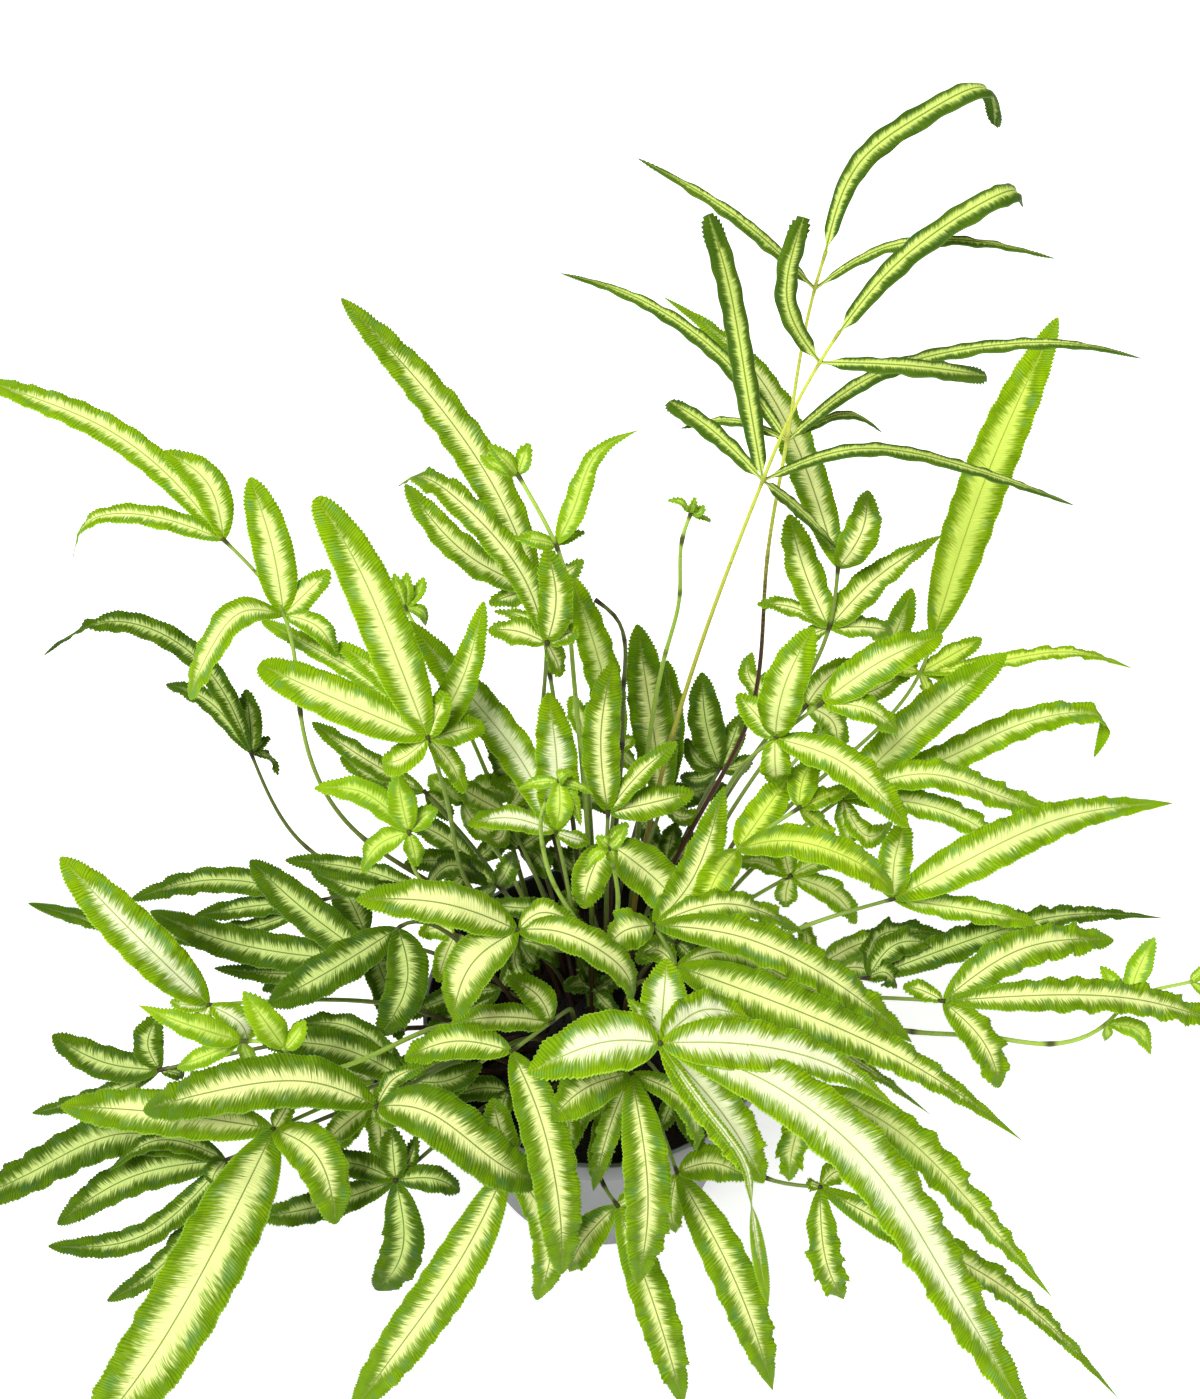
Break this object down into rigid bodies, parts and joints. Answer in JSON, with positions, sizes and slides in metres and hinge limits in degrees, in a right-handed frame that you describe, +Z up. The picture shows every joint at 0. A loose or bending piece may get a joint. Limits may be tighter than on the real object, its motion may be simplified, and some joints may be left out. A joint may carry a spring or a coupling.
{
  "type": "potted fern",
  "caption": "Variegated brake fern in a round tapered pot: strap-like leaflets with a pale middle band and toothed green edges, on wiry stalks that stand in potting soil.",
  "frame": {"origin": "middle of the pot's flat underside, which is the bottom of the whole part", "axes": "+Z up along the pot's axis; -Y towards the picture's viewer; +X to the viewer's right"},
  "size_m": [0.5009, 0.3499, 0.4573],
  "materials": {
    "pot": "fine matte grey plastic",
    "soil": "damp dark peat soil, loose and crumbly",
    "frond_dark": "mature leaf, darker blue-green with a pale band",
    "frond_green": "leaf, mid green with a pale band",
    "frond_bright": "leaf, yellow-green with a cream band",
    "frond_young": "young leaf, plain bright yellow-green"
  },
  "bodies": {
    "root": {"pot": "pot", "potting_soil": "soil", "frond_tall_a": "frond_dark", "frond_tall_b": "frond_dark", "frond_right_mid": "frond_green", "frond_back_right": "frond_bright", "frond_upper_left": "frond_bright", "frond_dark_left": "frond_dark", "frond_left_star": "frond_bright", "frond_back_a": "frond_green", "frond_back_b": "frond_young", "frond_back_c": "frond_green", "frond_back_d": "frond_green", "frond_middle_a": "frond_green", "frond_back_e": "frond_dark", "frond_back_f": "frond_dark", "frond_young_back": "frond_young", "frond_bare_stem": "frond_dark", "frond_young_left": "frond_young", "frond_young_mid_a": "frond_young", "frond_young_mid_b": "frond_young", "frond_middle_b": "frond_green", "frond_young_star": "frond_young", "frond_left_a": "frond_dark", "frond_left_b": "frond_dark", "frond_left_c": "frond_bright", "frond_young_bottom": "frond_young", "frond_left_d": "frond_dark", "frond_left_e": "frond_green", "frond_left_f": "frond_green", "frond_left_g": "frond_dark", "frond_left_h": "frond_green", "frond_left_i": "frond_dark", "frond_middle_c": "frond_green", "frond_front_a": "frond_green", "frond_front_star": "frond_bright", "frond_front_big": "frond_bright", "frond_front_long": "frond_green", "frond_front_b": "frond_green", "frond_front_c": "frond_green", "frond_front_d": "frond_green", "frond_right_front_a": "frond_green", "frond_right_front_b": "frond_green", "frond_right_a": "frond_bright", "frond_right_b": "frond_bright", "frond_right_star": "frond_bright", "frond_right_c": "frond_green", "frond_right_d": "frond_bright", "frond_right_e": "frond_dark", "frond_young_right": "frond_young", "frond_right_small": "frond_bright", "frond_left_j": "frond_dark", "frond_middle_d": "frond_green", "frond_under_right": "frond_bright", "frond_under_far_right": "frond_green", "frond_under_left": "frond_green", "frond_under_front_left": "frond_green", "frond_back_low_a": "frond_dark", "frond_back_low_b": "frond_dark"}
  },
  "joints": []
}
